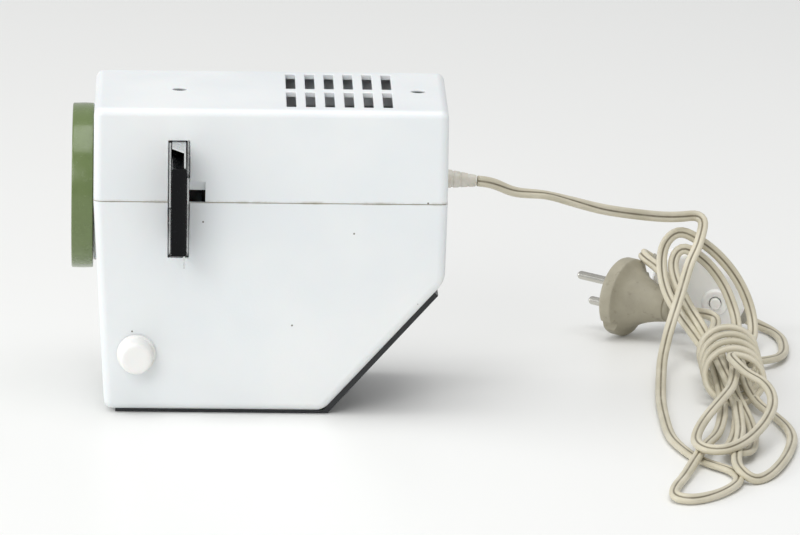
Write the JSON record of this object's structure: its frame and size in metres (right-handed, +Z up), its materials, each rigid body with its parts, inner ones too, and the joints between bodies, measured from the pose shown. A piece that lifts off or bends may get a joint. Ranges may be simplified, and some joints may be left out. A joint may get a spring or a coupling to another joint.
{
  "type": "slide projector",
  "caption": "Small box-shaped mains projector for mounted 50 mm slides, with a lens in a turning ring, a draw-out slide changer, a foot and a mains lead with switch and plug.",
  "frame": {"origin": "on the flat of the base, under the middle of the housing", "axes": "+Z up; the lens looks along -X; the slide changer is drawn out along -Y"},
  "size_m": [0.3348, 0.364, 0.141],
  "materials": {
    "housing_white": "satin",
    "ring_olive": "glossy",
    "black_paint": "satin",
    "barrel_black": "satin",
    "sheet_aluminium": "brushed",
    "zinc_steel": "zinc plated",
    "black_plastic": "satin",
    "lens_glass": "polished, coated",
    "filter_glass": "heat absorbing, pale green",
    "bulb_glass": "clear",
    "brass": "satin",
    "tungsten": "drawn wire",
    "ceramic": "unglazed ceramic",
    "mirror_face": "polished",
    "knob_white": "satin",
    "rubber_black": "matte",
    "terminal_cream": "moulded",
    "lead_beige": "soft PVC",
    "inner_lead": "sleeved",
    "switch_white": "glossy",
    "plug_grey": "soft PVC",
    "pin_nickel": "nickel plated"
  },
  "bodies": {
    "projector": {"upper_housing": "housing_white", "lower_housing": "housing_white", "base_plate": "black_paint", "housing_screws": "zinc_steel", "base_screws": "zinc_steel", "lens_mount": "black_paint", "focus_key": "zinc_steel", "gate_frame": "sheet_aluminium", "chassis": "zinc_steel", "chassis_screws": "zinc_steel", "condenser_holder": "black_paint", "condenser_front": "lens_glass", "condenser_rear": "lens_glass", "heat_filter": "filter_glass", "condenser_rings": "zinc_steel", "lamp_bulb": "bulb_glass", "lamp_cap": "brass", "lamp_filament": "tungsten", "lamp_socket": "ceramic", "mirror": "mirror_face", "mirror_bracket": "zinc_steel", "heat_shield": "sheet_aluminium", "terminal_block": "terminal_cream", "internal_leads": "inner_lead", "foot_guide": "zinc_steel", "strain_relief": "lead_beige", "mains_lead": "lead_beige", "lead_hank": "lead_beige", "lead_tails": "lead_beige", "switch_base": "switch_white", "switch_cover": "switch_white", "switch_spring": "zinc_steel", "switch_screws": "zinc_steel", "plug_body": "plug_grey", "plug_pins": "pin_nickel"},
    "changer": {"changer_frame": "sheet_aluminium", "changer_handle": "black_plastic", "slide_springs": "zinc_steel"},
    "focus_ring": {"focus_ring": "ring_olive", "ring_clip": "zinc_steel"},
    "lens": {"lens_barrel": "barrel_black", "front_glass": "lens_glass", "middle_glass": "lens_glass", "rear_glass": "lens_glass", "front_retainer": "barrel_black", "rear_retainer": "barrel_black"},
    "foot": {"foot_leg": "zinc_steel", "foot_pad": "rubber_black"},
    "clamp_knob": {"clamp_knob": "knob_white", "clamp_screw": "zinc_steel"},
    "switch_button": {"switch_button": "switch_white"}
  },
  "joints": [
    {"name": "changer_draw", "type": "slide", "parent": "projector", "child": "changer", "axis": [0, -1, 0], "range_m": [0, 0.074]},
    {"name": "focus_turn", "type": "hinge", "parent": "projector", "child": "focus_ring", "pos_m": [-0.075, 0, 0.096], "axis": [1, 0, 0], "range_deg": [0, 300]},
    {"name": "lens_travel", "type": "slide", "parent": "projector", "child": "lens", "axis": [-1, 0, 0], "range_m": [0, 0.01]},
    {"name": "foot_drop", "type": "slide", "parent": "projector", "child": "foot", "axis": [0, 0, -1], "range_m": [0, 0.026]},
    {"name": "clamp_turn", "type": "hinge", "parent": "projector", "child": "clamp_knob", "pos_m": [-0.06, -0.046, 0.028], "axis": [0, -1, 0], "range_deg": [0, 270]},
    {"name": "button_press", "type": "slide", "parent": "projector", "child": "switch_button", "axis": [0, 1, 0], "range_m": [0, 0.0025], "stiffness_N_per_m": 400}
  ],
  "couplings": [
    {"joint": "lens_travel", "follows": "focus_turn", "m_per_rad": 0.0019099}
  ]
}
